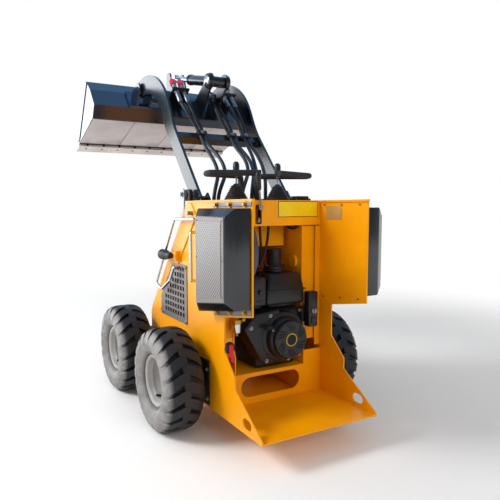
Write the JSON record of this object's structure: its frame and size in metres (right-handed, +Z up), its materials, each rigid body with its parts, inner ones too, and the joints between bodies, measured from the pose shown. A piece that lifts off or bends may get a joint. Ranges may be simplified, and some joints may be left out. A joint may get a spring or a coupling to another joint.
{
  "type": "stand-on mini loader",
  "caption": "Compact stand-on wheeled loader with raised lift arms, tilting front bucket, open rear engine bay and operator platform between side wings.",
  "frame": {"origin": "on the ground, under the middle of the machine's overall box", "axes": "+Y forward to the bucket, +X to the operator's right, +Z up"},
  "size_m": [1.0142, 1.8394, 1.7587],
  "materials": {
    "yellow_paint": "gloss",
    "black_paint": "satin",
    "arm_paint": "satin",
    "black_plastic": "matte",
    "tyre_rubber": "matte",
    "rim_silver": "satin",
    "chrome_rod": "polished",
    "engine_black": "satin",
    "foam": "matte",
    "steel": "satin"
  },
  "bodies": {
    "chassis": {"side_plate_right": "yellow_paint", "side_plate_left": "yellow_paint", "vent_plate_right": "yellow_paint", "vent_plate_left": "yellow_paint", "platform": "yellow_paint", "floor_pan": "yellow_paint", "kick_plate": "yellow_paint", "tower_plate_right": "yellow_paint", "tower_plate_left": "yellow_paint", "hood": "yellow_paint", "deck": "yellow_paint", "rear_fascia": "yellow_paint", "chain_cover_right": "black_paint", "chain_cover_left": "black_paint", "wing_box_right": "black_paint", "wing_box_left": "black_paint", "fan_shroud": "black_paint", "engine": "engine_black", "recoil_starter": "engine_black", "fuel_tank": "engine_black", "air_filter": "black_plastic", "filler_neck": "engine_black", "battery_switch": "black_plastic", "joystick_right": "black_plastic", "joystick_left": "black_plastic", "grab_loop_right": "foam", "grab_loop_left": "foam", "throttle_lever": "black_plastic", "deck_cap": "black_plastic", "lamp_guard_right": "black_paint", "lamp_guard_left": "black_paint"},
    "lift": {"lift_arm_right": "arm_paint", "lift_arm_left": "arm_paint", "cross_tube": "black_paint", "head_plate": "black_paint", "aux_couplers_right": "steel", "aux_couplers_left": "steel"},
    "bucket": {"hitch": "black_paint", "bucket_shell": "black_paint", "cutting_edge": "black_paint"},
    "tilt_barrel_body": {"tilt_barrel": "black_paint"},
    "tilt_rod_body": {"tilt_rod": "chrome_rod"},
    "lift_barrel_left_body": {"lift_barrel_left": "black_paint"},
    "lift_rod_left_body": {"lift_rod_left": "chrome_rod"},
    "lift_barrel_right_body": {"lift_barrel_right": "black_paint"},
    "lift_rod_right_body": {"lift_rod_right": "chrome_rod"},
    "front_left_wheel": {"front_left_tyre": "tyre_rubber", "front_left_rim": "rim_silver"},
    "front_right_wheel": {"front_right_tyre": "tyre_rubber", "front_right_rim": "rim_silver"},
    "rear_left_wheel": {"rear_left_tyre": "tyre_rubber", "rear_left_rim": "rim_silver"},
    "rear_right_wheel": {"rear_right_tyre": "tyre_rubber", "rear_right_rim": "rim_silver"}
  },
  "joints": [
    {"name": "lift", "type": "hinge", "parent": "chassis", "child": "lift", "pos_m": [0, -0.475, 0.72], "axis": [1, 0, 0], "range_deg": [-72, 5]},
    {"name": "tilt", "type": "hinge", "parent": "lift", "child": "bucket", "pos_m": [0, 0.418, 1.629], "axis": [-1, 0, 0], "range_deg": [-100, 26]},
    {"name": "front_left_wheel_spin", "type": "hinge", "parent": "chassis", "child": "front_left_wheel", "pos_m": [-0.416, 0.232, 0.225], "axis": [1, 0, 0], "continuous": true},
    {"name": "front_right_wheel_spin", "type": "hinge", "parent": "chassis", "child": "front_right_wheel", "pos_m": [0.416, 0.232, 0.225], "axis": [1, 0, 0], "continuous": true},
    {"name": "rear_left_wheel_spin", "type": "hinge", "parent": "chassis", "child": "rear_left_wheel", "pos_m": [-0.416, -0.364, 0.225], "axis": [1, 0, 0], "continuous": true},
    {"name": "rear_right_wheel_spin", "type": "hinge", "parent": "chassis", "child": "rear_right_wheel", "pos_m": [0.416, -0.364, 0.225], "axis": [1, 0, 0], "continuous": true},
    {"name": "tilt_barrel_swing", "type": "hinge", "parent": "lift", "child": "tilt_barrel_body", "pos_m": [0, -0.053, 1.6], "axis": [1, 0, 0], "range_deg": [-2, 5]},
    {"name": "tilt_rod_slide", "type": "slide", "parent": "tilt_barrel_body", "child": "tilt_rod_body", "axis": [0, 0.9713, 0.2377], "range_m": [-0.19, 0.06]},
    {"name": "lift_barrel_left_swing", "type": "hinge", "parent": "chassis", "child": "lift_barrel_left_body", "pos_m": [-0.22, -0.06, 0.17], "axis": [1, 0, 0], "range_deg": [-1, 4]},
    {"name": "lift_rod_left_slide", "type": "slide", "parent": "lift_barrel_left_body", "child": "lift_rod_left_body", "axis": [0, -0.3339, 0.9426], "range_m": [-0.28, 0.03]},
    {"name": "lift_barrel_right_swing", "type": "hinge", "parent": "chassis", "child": "lift_barrel_right_body", "pos_m": [0.22, -0.06, 0.17], "axis": [1, 0, 0], "range_deg": [-1, 4]},
    {"name": "lift_rod_right_slide", "type": "slide", "parent": "lift_barrel_right_body", "child": "lift_rod_right_body", "axis": [0, -0.3339, 0.9426], "range_m": [-0.28, 0.03]}
  ],
  "couplings": [
    {"joint": "tilt_barrel_swing", "follows": "tilt", "ratio": -0.03},
    {"joint": "tilt_rod_slide", "follows": "tilt", "m_per_rad": 0.1},
    {"joint": "lift_barrel_left_swing", "follows": "lift", "ratio": -0.0347},
    {"joint": "lift_rod_left_slide", "follows": "lift", "m_per_rad": 0.21},
    {"joint": "lift_barrel_right_swing", "follows": "lift", "ratio": -0.0347},
    {"joint": "lift_rod_right_slide", "follows": "lift", "m_per_rad": 0.21}
  ]
}
